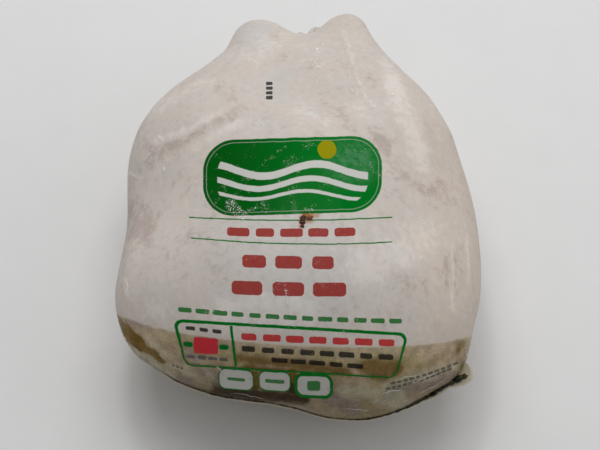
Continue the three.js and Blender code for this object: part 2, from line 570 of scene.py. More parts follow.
def skinToneGroup():
    # raw skin: tan and olive clouds, the stained places, a fine grain of pores, and painted shade deeper
    # into the clear band
    group, given, out = newGroup(
        "skinTone", dict.fromkeys([*skin["stains"], "deep"], 0), vectors=("place",),
        masks=("grain",), colours=("tone",),
    )
    clouds = speckle(group, given["place"], 48.0, 4.0, 0.6, 0.3)
    ragged = calc(group, "MULTIPLY_ADD", speckle(group, given["place"], 230.0, 5.0, 0.6), 5.0, -2.5)
    tone = blendColour(group, between(group, clouds, 0.40, 0.62), skin["tan"], skin["oliveTan"])
    for stain in skin["stains"]:
        soft = 0.8 if stain == "olive" else 2.0
        edge = between(group, plus(group, given[stain], ragged), -soft, soft)
        strength = 0.7 if stain in ("pink", "frostAndSheen") else 1.0
        tone = blendColour(group, times(group, edge, strength), tone, skin[stain])
    pores = speckle(group, given["place"], skin["grain"], 3.0, 0.7)
    blotch = speckle(group, given["place"], 210.0, 4.0, 0.6)
    shade = times(group, between(group, pores, 0.3, 0.7, 0.85, 1.12),
                 between(group, blotch, 0.3, 0.7, 0.82, 1.14))
    # painted shade, darker deeper into the clear band
    shade = times(group, shade, between(group, given["deep"], *skin["paintedShade"]))
    feed(group, out["tone"], blendColour(group, 1.0, tone, shade, "MULTIPLY"))
    feed(group, out["grain"], pores)
    return group


roundPatch = roundPatchGroup()
markRow = markRowGroup()
ruleLine = ruleLineGroup()
wave = waveGroup()
crinkle = crinkleGroup()
skinTone = skinToneGroup()
print("shared effects made")


def useSkin(tree):
    # the skin's colour and grain, from the stains that the piece carries
    values = {stain: pointValue(tree, stain) for stain in skin["stains"]}
    values["deep"] = pointValue(tree, "belowEdge")
    return useGroup(tree, skinTone, {"place": objectPlace(tree), **values})


def addStains(piece, across, up, facing):
    for stain, streaks in skin["stains"].items():
        depth = np.clip(streakDepth(across, up, streaks), -8, 8)
        setValues(piece, **{stain: np.where(facing > 0.3, depth, -8)})


inks = {
    "green": colour(0, 116, 34),
    "deepGreen": colour(0, 88, 16),
    "paleGreen": colour(92, 146, 108),
    "darkRed": colour(158, 28, 16),
    "red": colour(196, 28, 32),
    "pink": colour(210, 56, 66),
    "black": colour(26, 24, 24),
    "grey": colour(98, 96, 104),
    "fadedBlack": colour(98, 92, 86),
    "yellow": colour(152, 146, 12),
    "milk": colour(206, 206, 200),
}


def patch(atAcross, atUp, halfWide, halfHigh, corner, **more):
    # a rounded rectangle of the print
    return {"atAcross": atAcross, "atUp": atUp, "halfWide": halfWide, "halfHigh": halfHigh,
            "corner": corner, **more}


def dashes(left, right, base, tall, pitch, corner, seed, **more):
    # a row of the print's dashes, base millimetres up
    return {"left": left, "right": right, "base": base, "tall": tall, "pitch": pitch,
            "corner": corner, "seed": seed, **more}


# all of the print, in millimetres across and up
bagPrint = {
    "plaque": patch(-3.9, 25.4, 46.3, 19.8, 16, lean=0.03),
    "inset": patch(-3.9, 25.4, 44.6, 18.1, 14.4, lean=0.03, line=0.16, soft=0.2),
    "field": patch(-3.9, 24.8, 39, 15, 12, lean=0.03, soft=0.3),
    "waves": [
        {"level": 28.5, "swing": 3.2, "length": 56, "phase": 0.6, "line": 1.9},
        {"level": 21.5, "swing": 2.8, "length": 56, "phase": 0.9, "line": 1.5},
        {"level": 15.6, "swing": 2.2, "length": 56, "phase": 1.2, "line": 0.9},
    ],
    # worn ink and a painted sheen at the plaque's upper right
    "wearAndSheen": patch(27, 32, 12, 10, 10, soft=7),
    "sun": patch(14, 39.2, 4.9, 4.9, 4.9),
    "rules": [
        {"atAcross": -4.9, "atUp": 2.45, "half": 53.1, "sag": 1.6, "line": 0.33},
        {"atAcross": -4.5, "atUp": -9.75, "half": 52.5, "sag": 2.06, "slope": -0.021, "line": 0.33},
    ],
    "rows": [
        ("darkRed", dashes(-38.9, 30.2, -6.2, 4.4, 13.82, 1.4, 3, sag=0.6)),
        ("darkRed", dashes(-32.6, 20.8, -22.6, 6.6, 17.8, 2, 5, lean=-0.02, sag=0.3)),
        ("darkRed", dashes(-38.1, 26, -36.8, 7.2, 21.37, 2.2, 8, lean=-0.02, sag=0.4)),
        ("green", dashes(-64.2, 54, -49.2, 2.5, 9.09, 0.9, 2, lean=-0.053, sag=1.25)),
        ("black", dashes(-60.2, -39.6, -55.3, 2, 6.87, 0.7, 4, lean=-0.118)),
        ("grey", dashes(-59.3, -36.8, -69.9, 1.6, 5.62, 0.6, 6, lean=-0.1)),
        ("red", dashes(-32.4, 50.8, -61.5, 3.6, 11.89, 1.2, 9, lean=-0.043, sag=0.3)),
        ("black", dashes(-31.8, 49.6, -67.9, 2.9, 10.17, 1, 11, lean=-0.058, sag=0.2)),
        ("black", dashes(-15.5, 33.4, -72.8, 2.4, 9.78, 0.9, 12, lean=-0.076)),
        ("fadedBlack", dashes(46.6, 82.4, -78.4, 1.2, 3.25, 0.3, 14, lean=0.31, sag=1)),
        ("fadedBlack", dashes(44.3, 79, -81.4, 1.2, 2.89, 0.3, 15, lean=0.31, sag=1.2)),
        ("fadedBlack", dashes(-66.4, -60.4, -73.9, 1, 2, 0.3, 16, lean=-0.42)),
    ],
    "box": patch(-4.8, -64.5, 57.3, 11.4, 4.2, lean=-0.06, taper=0.0045),
    "divider": {"atAcross": -62.8, "atUp": -34.5, "half": 10.6, "slope": -0.12, "line": 0.72},
    "blocks": [
        ("pink", patch(-48.8, -62.6, 6.3, 4.2, 1.2, lean=-0.08)),
        ("green", patch(-58, -61.8, 2.5, 1.3, 1.3, lean=-0.08)),
        ("green", patch(-39.5, -63.4, 2.5, 1.3, 1.3, lean=-0.08)),
    ],
    "seals": [
        patch(-33.1, -80.1, 8.9, 5.2, 3.6, lean=-0.08, line=0.32),
        patch(-13.1, -80.9, 8.1, 5, 3.4, lean=-0.06, line=0.36),
        patch(7.1, -83.3, 9.2, 5.6, 3.8, lean=-0.06, line=0.85),
    ],
    "sealBars": [
        patch(-33.1, -80.1, 4.6, 0.8, 0.7, lean=-0.08),
        patch(-13.1, -80.9, 5, 1, 0.8, lean=-0.06),
        patch(7.1, -83.3, 3.4, 2.5, 1.3, lean=-0.06),
    ],
    "datePatch": patch(-10.1, 72.8, 9.6, 9, 0.6),
    "dateMarks": dashes(64.9, 74.5, -17.6, 3.4, 2.4, 0.5, 21),
}


film = {
    "cells": 127,
    "rolling": 0.30,                # mm, broad unevenness of the tight film
    "pleat": 0.22,                  # mm, fine pleats
    "pinch": ((84, -72, 44), 11, 2.0),      # a hollow above the loose corner: place, reach, depth
    "milk": colour(216, 208, 202),
    "light": colour(233, 226, 220),
    "shade": colour(192, 180, 174),
    "cool": colour(249, 252, 254),
    "warm": colour(255, 249, 241),
    # painted glint colour of the crackled flecks
    "paintedGlintFleck": colour(252, 249, 240),
    "smear": colour(206, 152, 98),
    "coolSpots": [(-5, -15, 36, 42, 0.9), (-24, 100, 8, 8, 0.7)],   # middle, half sizes, amount
    "warmSide": (45, 85, 0.6),      # from, to (across), amount
    "toneWander": [(7, 1.2), (3, 0.7)],     # how broad and how far, in mm
    "toneStrength": 1.25,
    "clearAlpha": 0.34,
    "veil": (0.6, 9.0, 0.55, 0.0),  # the white print's fringe: mm past its edge, and how white
    # broad creases of the milky film: from, to (across, up), bow, width and height, all in mm
    "creases": [
        ((22.7, 101), (34.1, 65.6), -1.2, 2.4, 0.8),
        ((43, 86), (66.8, 24.3), 5, 5, 0.9),
        ((-24, 100), (-44, 74), 2, 2.6, 0.5),
        ((-26, 98), (-58, 66), 3, 2.8, 0.5),
        ((-73.2, 44.9), (-43.5, 60.8), 1, 2.6, 0.4),
    ],
    # bands where the milky film is painted lighter or, below zero, darker: partly its own mottle,
    # partly painted light along ridges and painted shade in hollows; path, half width, softness and amount
    "tonesAndPaintedLight": [
        ([(43.7, 84), (51.8, 66)], 2, 4, 0.4), ([(48.5, 71.5), (59, 45.3), (65.2, 26.9)], 3.4, 5, 0.57),
        ([(33.7, -19.2), (64.8, -7.8)], 9, 9, 0.3), ([(37.2, 50.5), (48.5, 33), (50.3, 26)], 2.8, 3, -0.25),
        ([(46.5, 16), (53, 15)], 3, 2.5, -0.12), ([(56, 23.5), (72, 18.5)], 4, 3, -0.31),
        ([(76, 11), (80, 5)], 3.5, 3, -0.18), ([(42, -21), (50, -25)], 4, 4, -0.22),
        ([(52, -30), (64, -33)], 5, 5, -0.19), ([(81.8, -12.4), (81.8, -33.4)], 2.4, 2, -0.28),
        ([(78.8, -10.7), (78.8, -43.9)], 0.6, 1.6, 0.5), ([(86.5, -5), (87, -30)], 0.6, 1.6, 0.35),
        ([(77, -15), (77.2, -30)], 2, 3, -0.4), ([(11.2, 60), (27.2, 54), (45.3, 39.9)], 3, 3, -0.28),
        ([(-88.5, 27.5), (-82, 24.3)], 0.6, 1.5, 0.5), ([(-90.6, -27.8), (-89, -36.6)], 0.5, 1.5, 0.6),
        ([(-76.5, 57), (-62.2, 70), (-46.8, 74)], 1.5, 3, 0.45),
        ([(-68.5, 45.2), (-58.3, 49.6), (-49.6, 54.6), (-42.3, 57.9)], 1.2, 2.4, 0.5),
        ([(-73.2, 44.2), (-72.6, 44.6)], 2, 1.6, 0.7), ([(-80.4, 42.6), (-76.5, 38.5)], 2, 2.5, -0.3),
        ([(-78, 32.1), (-71.5, 38.6), (-60.6, 43), (-52.5, 47.4), (-45.2, 52.5), (-39.4, 55.4), (-30, 59.7)],
         2.5, 2.5, -0.42),
        ([(-55.4, 39.4), (-49.6, 44.5), (-40.9, 48.2), (-31.4, 53.2)], 1.5, 2.4, 0.4),
        ([(-65, 75.6), (-57, 71.2)], 1.5, 3, -0.19), ([(-15, 99), (-11.9, 97.6)], 1.2, 2, -0.25),
        ([(-23, 85), (-7.3, 96.4)], 2, 3, 0.22), ([(-22, 97), (-19, 94)], 3, 5, 0.3),
        ([(-38.5, 68), (-37, 66.5)], 4, 5, -0.3), ([(13, 108.7), (30.6, 105)], 4, 4, -0.15),
        ([(22.7, 100), (28.4, 78.8), (34.1, 65.6), (39.4, 61.6)], 0.8, 1.8, 0.45),
        ([(0, 60), (14, 56)], 4, 6, 0.35), ([(-80, -6), (-50, -14)], 10, 12, -0.15),
        ([(-91, 20), (-93, -20)], 3, 5, -0.19), ([(84, 50), (90, 10)], 4, 7, -0.12),
        ([(31, -23), (52, -18)], 6, 8, 0.5), ([(-36, -44), (0, -44)], 7, 8, 0.6),
        ([(-84, 6), (-82, -4)], 5, 6, -0.6), ([(-74, -47), (-70, -51)], 5, 6, 0.4),
        ([(31, 60), (34, 52)], 4, 6, 0.35), ([(62, 23), (70, 11)], 3.6, 2, -0.22),
    ],
    # small crackled places where the tight film glints, through its gloss and through white flecks painted
    # as glints
    "glints": [
        ((-23.5, 52.5), (-17.5, 54.5), 1.8), ((-15.5, 50), (-14, 47.5), 1.2), ((3.2, 58.5), (8, 57), 1.4),
        ((-36, 10.5), (-30.5, 5), 3), ((-27, 8), (-22, 9), 0.7), ((2.5, 8.4), (6.5, 7.6), 0.8),
        ((7.6, 92), (9.4, 90.4), 1.2), ((11, 94), (12.2, 93.4), 0.9), ((5.4, 86.2), (9, 85.4), 1.2),
        ((7, 83), (10, 81.4), 1.6), ((-79.5, 37), (-77.5, 38.5), 1), ((-71, 30.5), (-70.6, 27.6), 0.8),
        ((26.6, 70.4), (27.6, 69), 1.1), ((22.9, 92), (24.6, 88), 1), ((25.5, 85), (28.4, 78.4), 0.6),
        ((29, 77), (33.4, 67), 1), ((33.4, 67), (39, 61.4), 1.2), ((47, 69), (48.4, 66.6), 1.2),
        ((-8, -31), (-6, -42), 0.9), ((-73.6, 45.6), (-72.4, 44.4), 1.3),
    ],
    # where the dried blood has run out thin over the film: start, end, half width
    "smears": [
        ((5.5, 4.6), (9.4, 4.9), 0.8), ((3.6, 1.8), (6.4, 2), 0.5), ((1.8, 5.6), (6.4, 5.6), 0.8),
        ((0.2, -0.8), (1.6, -1.2), 0.6), ((0.4, 0), (0.6, 4), 0.7),
    ],
}


def filmRoll(places):
    # how far the tight film lies above or below its even form, in mm
    roll = film["rolling"] * noiseAt(places, 26) + film["pleat"] * noiseAt(places, (5, 26, 12), 5.0)
    spot, reach, depth = film["pinch"]
    away = np.linalg.norm(places / mm - spot, axis=1)
    return roll - depth * np.exp(-(away / reach) ** 2)


def wandered(values, places, seed):
    for step, amount in film["toneWander"]:
        values = values + amount * noiseAt(places, step, seed)
        seed += 2.0
    return values


def toneAndPaintedLight(across, up, places):
    # how much lighter or darker each spot is painted: the film's own mottle, painted light along ridges and
    # painted shade in hollows
    # the edges of the patches wander a little
    across, up = wandered(across, places, 11.0), wandered(up, places, 15.0)
    total = np.zeros(len(across))
    for path, half, soft, amount in film["tonesAndPaintedLight"]:
        depth = streakDepth(across, up, [(start, end, half) for start, end in zip(path, path[1:])])
        total += film["toneStrength"] * amount * ramp(depth, -soft, soft * 0.5)
    return np.clip(total, -1, 1)


def warmth(across, up):
    # bluish over the breast and the left hock, warmer along the right side
    start, end, warm = film["warmSide"]
    total = warm * ramp(across, start, end)
    for atAcross, atUp, wide, high, amount in film["coolSpots"]:
        total -= amount * np.exp(-((across - atAcross) / wide) ** 2 - ((up - atUp) / high) ** 2)
    return total


def creaseHeight(across, up, crease):
    (x0, y0), (x1, y1), bow, width, height = crease
    length = math.hypot(x1 - x0, y1 - y0)
    alongX, alongY = (x1 - x0) / length, (y1 - y0) / length
    x, y = across - x0, up - y0
    t = np.clip((x * alongX + y * alongY) / length, 0, 1)
    side = y * alongX - x * alongY - bow * 4 * t * (1 - t)
    shape = np.exp(-(side / np.where(side > 0, width, width * 0.6)) ** 2)
    return height * shape * np.sin(math.pi * t) ** 0.7


def addFilm():
    piece = makePiece("film", *castBall(film["cells"]))
    body, normals, across, up, facing, offFloor = surfaceOf(piece)
    lift = filmRoll(body)
    for crease in film["creases"]:
        lift = lift + creaseHeight(across, up, crease) * facing
    moveCorners(piece, body + normals * (lift * offFloor * mm)[:, None])
    setValues(piece, printAcross=across, printUp=up, facing=facing,
              belowEdge=np.clip(belowEdge(across, up), -30, 30))
    addStains(piece, across, up, facing)
    # the painted light and shade go in with the film's mottle
    setValues(piece, lighter=facing * toneAndPaintedLight(across, up, body), warmth=facing * warmth(across, up),
              smear=np.where(facing > 0.3, streakDepth(across, up, film["smears"]), -9),
              glint=np.where(facing > 0.02, streakDepth(across, up, film["glints"]), -9))
    piece.data.materials.append(filmMaterial())
    finish(piece, "film", "wrapped_chicken")
    return piece


def filmMaterial():
    material, tree, shader = newMaterial("printedFilm")
    place = objectPlace(tree)
    bleed = calc(tree, "MULTIPLY_ADD", speckle(tree, place, 420.0, 2.0), 0.5, -0.25)
    across = plus(tree, pointValue(tree, "printAcross"), bleed)
    up = plus(tree, pointValue(tree, "printUp"), bleed)
    facing = pointValue(tree, "facing")
    clouds = speckle(tree, place, 62.0, 5.0, 0.62, 0.8)
    fine = speckle(tree, place, 300.0, 6.0, 0.72)

    # milky print over clear film, frosted in small ragged flecks
    # the film's mottle, with painted light along ridges and painted shade in hollows
    lighter = stirred(tree, pointValue(tree, "lighter"), clouds, 1.6)
    lighter = stirred(tree, lighter, fine, 2.6)
    milk = blendColour(tree, between(tree, lighter, 0.0, -1.0), film["milk"], film["shade"])
    milk = blendColour(tree, between(tree, lighter, 0.0, 1.0), milk, film["light"])
    warmer = stirred(tree, pointValue(tree, "warmth"), speckle(tree, place, 75.0, 4.0, 0.6), 1.3)
    warmer = between(tree, warmer, -1.0, 1.0)
    milk = blendColour(tree, 1.0, milk, blendColour(tree, warmer, film["cool"], film["warm"]), "MULTIPLY")
    below = pointValue(tree, "belowEdge")
    ragged = calc(tree, "MULTIPLY_ADD", fine, 2.0, below)
    clear = between(tree, ragged, 0.2, 3.0)
    tone = blendColour(tree, between(tree, ragged, *film["veil"]), useSkin(tree)["tone"], film["milk"])
    tint = blendColour(tree, clear, milk, tone)
    # half-covered film lets less light in and out again, so it is made brighter
    brighter = between(tree, clear, 0.0, 0.6, 1.0, 1.36)
    brighter = times(tree, brighter, between(tree, clear, 0.8, 1.0, 1.0, 0.7))
    tint = blendColour(tree, 1.0, tint, brighter, "MULTIPLY")
    alpha = between(tree, clear, 0.0, 1.0, 1.0, film["clearAlpha"])

    # inks, worn in specks
    worn = times(tree, speckle(tree, place, 1500.0, 2.0), speckle(tree, place, 160.0, 3.0))
    cover = times(tree, facing, between(tree, worn, 0.36, 0.44, 1.0, 0.45))
    upright, turned = {"across": across, "up": up}, {"across": up, "up": across}

    def shape(group, values, way=upright):
        return useGroup(tree, group, {**way, **values})

    def ink(mask, name, strength=1.0):
        nonlocal tint, alpha
        mask = times(tree, mask, cover)
        mask = times(tree, mask, strength) if strength < 1 else mask
        tint = blendColour(tree, mask, tint, inks[name] if isinstance(name, str) else name)
        alpha = calc(tree, "MAXIMUM", alpha, mask)

    ink(shape(roundPatch, bagPrint["datePatch"])["fill"], "milk", 0.35)
    ink(shape(markRow, bagPrint["dateMarks"], turned)["mask"], "black", 0.9)

    greenTone = blendColour(tree, between(tree, across, -45.0, 25.0), inks["deepGreen"], inks["green"])
    # a paler, milkier green at the plaque's upper right: worn ink and a painted sheen
    wearAndSheen = shape(roundPatch, bagPrint["wearAndSheen"])["fill"]
    wearAndSheen = times(tree, wearAndSheen, between(tree, fine, 0.35, 0.65, 0.1, 0.7))
    greenTone = blendColour(tree, wearAndSheen, greenTone, inks["paleGreen"])
    ink(shape(roundPatch, bagPrint["plaque"])["fill"], greenTone)
    ink(shape(roundPatch, bagPrint["inset"])["outline"], "milk", 0.5)
    field = shape(roundPatch, bagPrint["field"])["fill"]
    for sweep in bagPrint["waves"]:
        ink(times(tree, shape(wave, sweep)["mask"], field), "milk")
    ink(shape(roundPatch, bagPrint["sun"])["fill"], "yellow")
    for rule in bagPrint["rules"]:
        ink(shape(ruleLine, rule)["mask"], "green")
    for name, row in bagPrint["rows"]:
        ink(shape(markRow, row)["mask"], name, 0.92)
    edgeLine = between(tree, up, -76.0, -54.0, 0.45, 0.85)
    ink(shape(roundPatch, {**bagPrint["box"], "line": edgeLine})["outline"], "green")
    ink(shape(ruleLine, bagPrint["divider"], turned)["mask"], "green")
    for name, block in bagPrint["blocks"]:
        ink(shape(roundPatch, block)["fill"], name)
    for seal in bagPrint["seals"]:
        made = shape(roundPatch, seal)
        ink(made["fill"], "milk", 0.92)
        ink(made["outline"], "green")
    for bar in bagPrint["sealBars"]:
        ink(shape(roundPatch, bar)["fill"], "green", 0.9)

    smeared = calc(tree, "MULTIPLY_ADD", fine, 3.0, minus(tree, pointValue(tree, "smear"), 1.5))
    smeared = times(tree, between(tree, smeared, -1.4, 0.9), 0.75)
    tint = blendColour(tree, smeared, tint, film["smear"], "MULTIPLY")

    # crackled places break into white flecks: painted glints
    crackle = calc(tree, "MULTIPLY_ADD", fine, 3.0, minus(tree, pointValue(tree, "glint"), 1.5))
    crackle = between(tree, crackle, -0.5, 1.0)
    paintedGlintFlecks = between(tree, speckle(tree, place, 1300.0, 3.0, 0.6), 0.54, 0.62)
    tint = blendColour(tree, times(tree, crackle, paintedGlintFlecks), tint, film["paintedGlintFleck"])

    normal = bumped(tree, useGroup(tree, crinkle, {"place": place})["height"], 0.30, 0.0012)
    ripples = times(tree, speckle(tree, place, 1100.0, 2.0), crackle)
    feedAll(tree, shader, {
        "Base Color": tint, "Alpha": alpha, "Roughness": between(tree, fine, 0.3, 0.7, 0.36, 0.5),
        "Coat Weight": calc(tree, "MAXIMUM", 0.04, crackle), "Coat Roughness": 0.1,
        "Normal": bumped(tree, ripples, 0.7, 0.0006, normal), "Specular IOR Level": 0.01,
    })
    return material


bird = {
    "cells": 104,
    "gap": 0.3,                     # mm from the film to the skin
    "folds": 0.35,
    # painted light: the skin's colour is made this much brighter to make up for the light the film takes
    # from it
    "paintedLightUnderFilm": 1.55,              # the skin is this much brighter than it looks through film
}


def addBird():
    piece = makePiece("bird", *castBall(bird["cells"], bird["gap"] * mm))
    body, normals, across, up, facing, offFloor = surfaceOf(piece)
    folds = np.abs(noiseAt(body, 14)) + 0.5 * np.abs(noiseAt(body, 6, 3.0))
    lift = (filmRoll(body) - folds * bird["folds"]) * offFloor
    moveCorners(piece, body + normals * (lift * mm)[:, None])
    addStains(piece, across, up, facing)
    below = belowEdge(across, up)
    setValues(piece, belowEdge=np.clip(below, -30, 30), bare=ramp(below, -2.0, 2.0) * offFloor)
    piece.data.materials.append(birdMaterial("rawSkin", 1.0))
    finish(piece, "raw_skin")
    return piece


def birdMaterial(name, strength):
    material, tree, shader = newMaterial(name)
    made = useSkin(tree)
    # painted light: brighter skin colour to make up for the film's shadow on it
    tint = blendColour(tree, 1.0, made["tone"], grey(bird["paintedLightUnderFilm"] * strength), "MULTIPLY")
    pimples = speckle(tree, objectPlace(tree), 420.0, 2.0)
    normal = bumped(tree, made["grain"], 0.35, 0.0006)
    feedAll(tree, shader, {
        "Base Color": tint, "Roughness": between(tree, made["grain"], 0.3, 0.7, 0.22, 0.42),
        "Normal": bumped(tree, pimples, 0.5, 0.001, normal), "Specular IOR Level": 0.08,
    })
    return material


seams = {
    "neckSeal": {"turnsRound": (0, -20), "height": 29.5, "climb": 13, "facing": (-36, -150), "width": 1.0,
                 "swell": (2.1, 0.11, 0.04), "corner": 6.4, "cornerFacing": -15, "ripple": 0.4,
                 "look": ("clearSeam", colour(150, 143, 110), colour(226, 213, 190), 0.6,
                          colour(148, 122, 68))},
    "ventSeal": {"turnsRound": (0, 62), "height": 50, "climb": 0, "facing": (122, 58), "width": 6.5,
                 "swell": (3.0, 0.62, 0.06), "corner": 0, "cornerFacing": 90, "ripple": 1.0,
                 "look": ("milkySeam", colour(196, 188, 180), colour(216, 210, 203), 0.9)},
    "root": 1.2,                    # mm of the seam hidden under the film
    "thick": (1.0, 0.5),            # mm, at the root and at the edge
    "climbShare": 0.32,             # shares of a seam's length
    "cornerShare": (0.012, 0.08),   # where the loose corner starts and ends
    "cornerFull": 0.03,             # where it is as thick as it gets
    "cornerSwell": 1.2,             # how much thicker the loose corner is
    "ripples": 9,
    "frill": (0.35, 0.4),           # mm, small and broad waviness of the edge
    "steps": (260, 6),              # along and across a seam
}


def level(facing):
    # level directions that face each way, in degrees seen from above
    angle = np.radians(facing)
    return np.stack([np.cos(angle), np.sin(angle), np.zeros_like(angle)], 1)


def seamWidth(seam, along):
    # how far the seam stands out of the film, in mm
    height, at, half = seam["swell"]
    endTaper = np.minimum(1, np.minimum(along * 20, (1 - along) * 8))
    return (seam["width"] + height * np.exp(-((along - at) / half) ** 2)) * endTaper


def seamPath(seam, along, outward, rise=0.0):
    # places on a seam, by their shares of its length and of its width
    climb = seam["climb"] * np.maximum(0, 1 - along / seams["climbShare"]) ** 1.5
    x, y = seam["turnsRound"]
    starts = np.stack([np.full_like(along, x), np.full_like(along, y), seam["height"] + climb], 1) * mm
    first, last = seam["facing"]
    directions = level(first + (last - first) * along)
    first, last = seams["cornerShare"]
    inCorner = np.clip((along - first) / (last - first), 0, 1)
    flap = seam["corner"] * np.maximum(np.sin(math.pi * inCorner), 0) ** 0.8 * outward
    edge = seamWidth(seam, along) * outward - seams["root"] * (1 - outward)
    sway = seam["ripple"] * np.sin(2 * math.pi * seams["ripples"] * along) * outward
    reach = castOut(directions, starts) + edge * mm
    places = starts + directions * reach[:, None] + shift
    places += (flap * mm)[:, None] * level(np.full_like(along, seam["cornerFacing"]))
    places[:, 2] += (sway + rise) * mm
    return places


def addSeam(name):
    seam = seams[name]
    sides = [np.linspace(0, 1, steps + 1) for steps in seams["steps"]]
    along, outward = (share.ravel() for share in np.meshgrid(*sides, indexing="ij"))
    middle = seamPath(seam, along, outward)
    small, broad = seams["frill"]
    frill = noiseAt(middle, 3.0) * outward * small + noiseAt(middle, 9.0, 2.0) * outward * broad
    middle[:, 2] += frill * mm
    thick, thin = seams["thick"]
    half = (thick + (thin - thick) * outward) / 2 * mm
    inCorner = ramp(-along, -seams["cornerShare"][1], -seams["cornerFull"])
    half *= 1 + seams["cornerSwell"] * (seam["corner"] > 0) * inCorner
    rise = np.outer(half, (0, 0, 1))
    piece = makeSlab(name, middle + rise, middle - rise, seams["steps"][0] + 1)
    setValues(piece, outward=np.tile(outward, 2), along=np.tile(along, 2))
    piece.data.materials.append(seamMaterial(*seam["look"]))
    finish(piece, "film")


def seamMaterial(name, first, last, solid, root=None):
    # first and last are its colours where it is clearer and whiter; root stains its loose corner.
    # A pleat carries neither outward nor along, so it is pale all over, as the loose corner is; on a pleat
    # that paleness partly paints its glints
    material, tree, shader = newMaterial(name)
    stretched = put(tree, "ShaderNodeMapping", {"Vector": objectPlace(tree), "Scale": (1.0, 1.0, 0.3)})
    streaks = speckle(tree, stretched.outputs[0], 160.0, 3.0, 0.5)
    rim = between(tree, pointValue(tree, "outward"), 0.6, 0.95)
    inCorner = between(tree, pointValue(tree, "along"), 0.09, 0.05, 0.0, 0.75)
    pale = calc(tree, "MAXIMUM", rim, inCorner)
    pale = calc(tree, "MAXIMUM", between(tree, streaks, 0.35, 0.75, 0.0, 0.7), pale)
    tint = blendColour(tree, pale, first, last)
    if root:
        stained = times(tree, inCorner, between(tree, pointValue(tree, "outward"), 0.45, 0.15))
        tint = blendColour(tree, stained, tint, root)
    feedAll(tree, shader, {
        "Base Color": tint, "Alpha": between(tree, pale, 0.0, 1.0, solid, min(solid + 0.3, 1.0)),
        "Roughness": between(tree, streaks, 0.3, 0.7, 0.2, 0.4), "Normal": bumped(tree, streaks, 0.4, 0.001),
        "Coat Weight": 0.8, "Coat Roughness": 0.1,
    })
    return material


# a dark bead along the clear seam's root: juice trapped in the crease, and painted shade there
juiceAndShade = {
    "span": (0.042, 0.965),         # shares of the seam's length
    "radius": (0.98, 0.36),         # mm, at the right end, and where it has run thin
    "thinned": 0.40,                # share of the seam's length where it is thin
    # where it lies: shares of the seam's length, and how far out there as a share of its width
    "out": [(0.042, 0.74), (0.050, 0.44), (0.065, 0.36), (0.10, 0.42), (0.16, 0.7)],
    "lumps": 3.2,                   # how knobbly it is
    "sides": 10,
    "rise": 0.6,                    # mm above the seam's middle
    "points": 160,                  # that its path is drawn through
    "spacing": 0.5,                 # mm from ring to ring
    "dark": colour(16, 17, 8),
    "light": colour(72, 72, 38),
}


def geometryTree(name, values):
    # a tree with a named input for each value, and the inputs' identifiers
    tree = bpy.data.node_groups.new(name, "GeometryNodeTree")
    tree.interface.new_socket("Geometry", in_out="INPUT", socket_type="NodeSocketGeometry")
    tree.interface.new_socket("Geometry", in_out="OUTPUT", socket_type="NodeSocketGeometry")
    ids = {}
    for socket, value in values.items():
        kind = "NodeSocketInt" if isinstance(value, int) else "NodeSocketFloat"
        made = tree.interface.new_socket(socket, in_out="INPUT", socket_type=kind)
        made.default_value = value
        ids[socket] = made.identifier
    return tree, ids, tree.nodes.new("NodeGroupInput").outputs, tree.nodes.new("NodeGroupOutput").inputs


def tube(tree, curve, radius, sides):
    ring = put(tree, "GeometryNodeCurvePrimitiveCircle", {"Resolution": sides, "Radius": 1.0}).outputs[0]
    values = {"Curve": curve, "Profile Curve": ring, "Scale": radius, "Fill Caps": True}
    return put(tree, "GeometryNodeCurveToMesh", values).outputs[0]


def slimEnds(tree, share, reach, least):
    # 1 along a curve, eased to the least at both its ends
    return between(tree, times(tree, minus(tree, 1.0, share), share), 0.0, reach, least, 1.0)


def namedValue(tree, name):
    return put(tree, "GeometryNodeInputNamedAttribute", {"Name": name}).outputs["Attribute"]


def closeTree(tree, geometry, material, out):
    # ends a tree: real geometry, smooth, in its material
    whole = put(tree, "GeometryNodeRealizeInstances", {"Geometry": geometry}).outputs[0]
    smooth = put(tree, "GeometryNodeSetShadeSmooth", {"Geometry": whole}).outputs[0]
    dressed = put(tree, "GeometryNodeSetMaterial", {"Geometry": smooth, "Material": material})
    feed(tree, out["Geometry"], dressed.outputs[0])


def grow(piece, values, tree, ids):
    # runs the tree on the piece and keeps the result as its plain mesh
    modifier = piece.modifiers.new("grow", "NODES")
    modifier.node_group = tree
    for name, value in values.items():
        modifier[ids[name]] = value
    done = piece.evaluated_get(bpy.context.evaluated_depsgraph_get())
    mesh = bpy.data.meshes.new_from_object(done)
    piece.modifiers.remove(modifier)
    piece.data = mesh
    mesh.name = piece.name


def juiceAndShadeTree(values, material):
    tree, ids, given, out = geometryTree("juiceAndPaintedShadeBead", values)
    curve = put(tree, "GeometryNodeMeshToCurve", {"Mesh": given["Geometry"]}).outputs[0]
    spaced = {"Curve": curve, "Length": given["spacing"]}
    curve = put(tree, "GeometryNodeResampleCurve", spaced, mode="LENGTH")
    share = put(tree, "GeometryNodeSplineParameter").outputs["Factor"]
    place = put(tree, "GeometryNodeInputPosition").outputs[0]
    knobs, wander = speckle(tree, place, 420.0, 3.0, 0.5), speckle(tree, place, 90.0, 1.0, 0.5)
    swell = stirred(tree, stirred(tree, 1.0, knobs, given["lumps"]), wander, 1.6)
    radius = between(tree, share, 0.0, given["thinned"], given["firstRadius"], given["lastRadius"])
    radius = times(tree, radius, calc(tree, "MAXIMUM", swell, 0.25))
    radius = times(tree, radius, slimEnds(tree, share, 0.01, 0.15))
    closeTree(tree, tube(tree, curve.outputs[0], radius, given["sides"]), material, out)
    return tree, ids


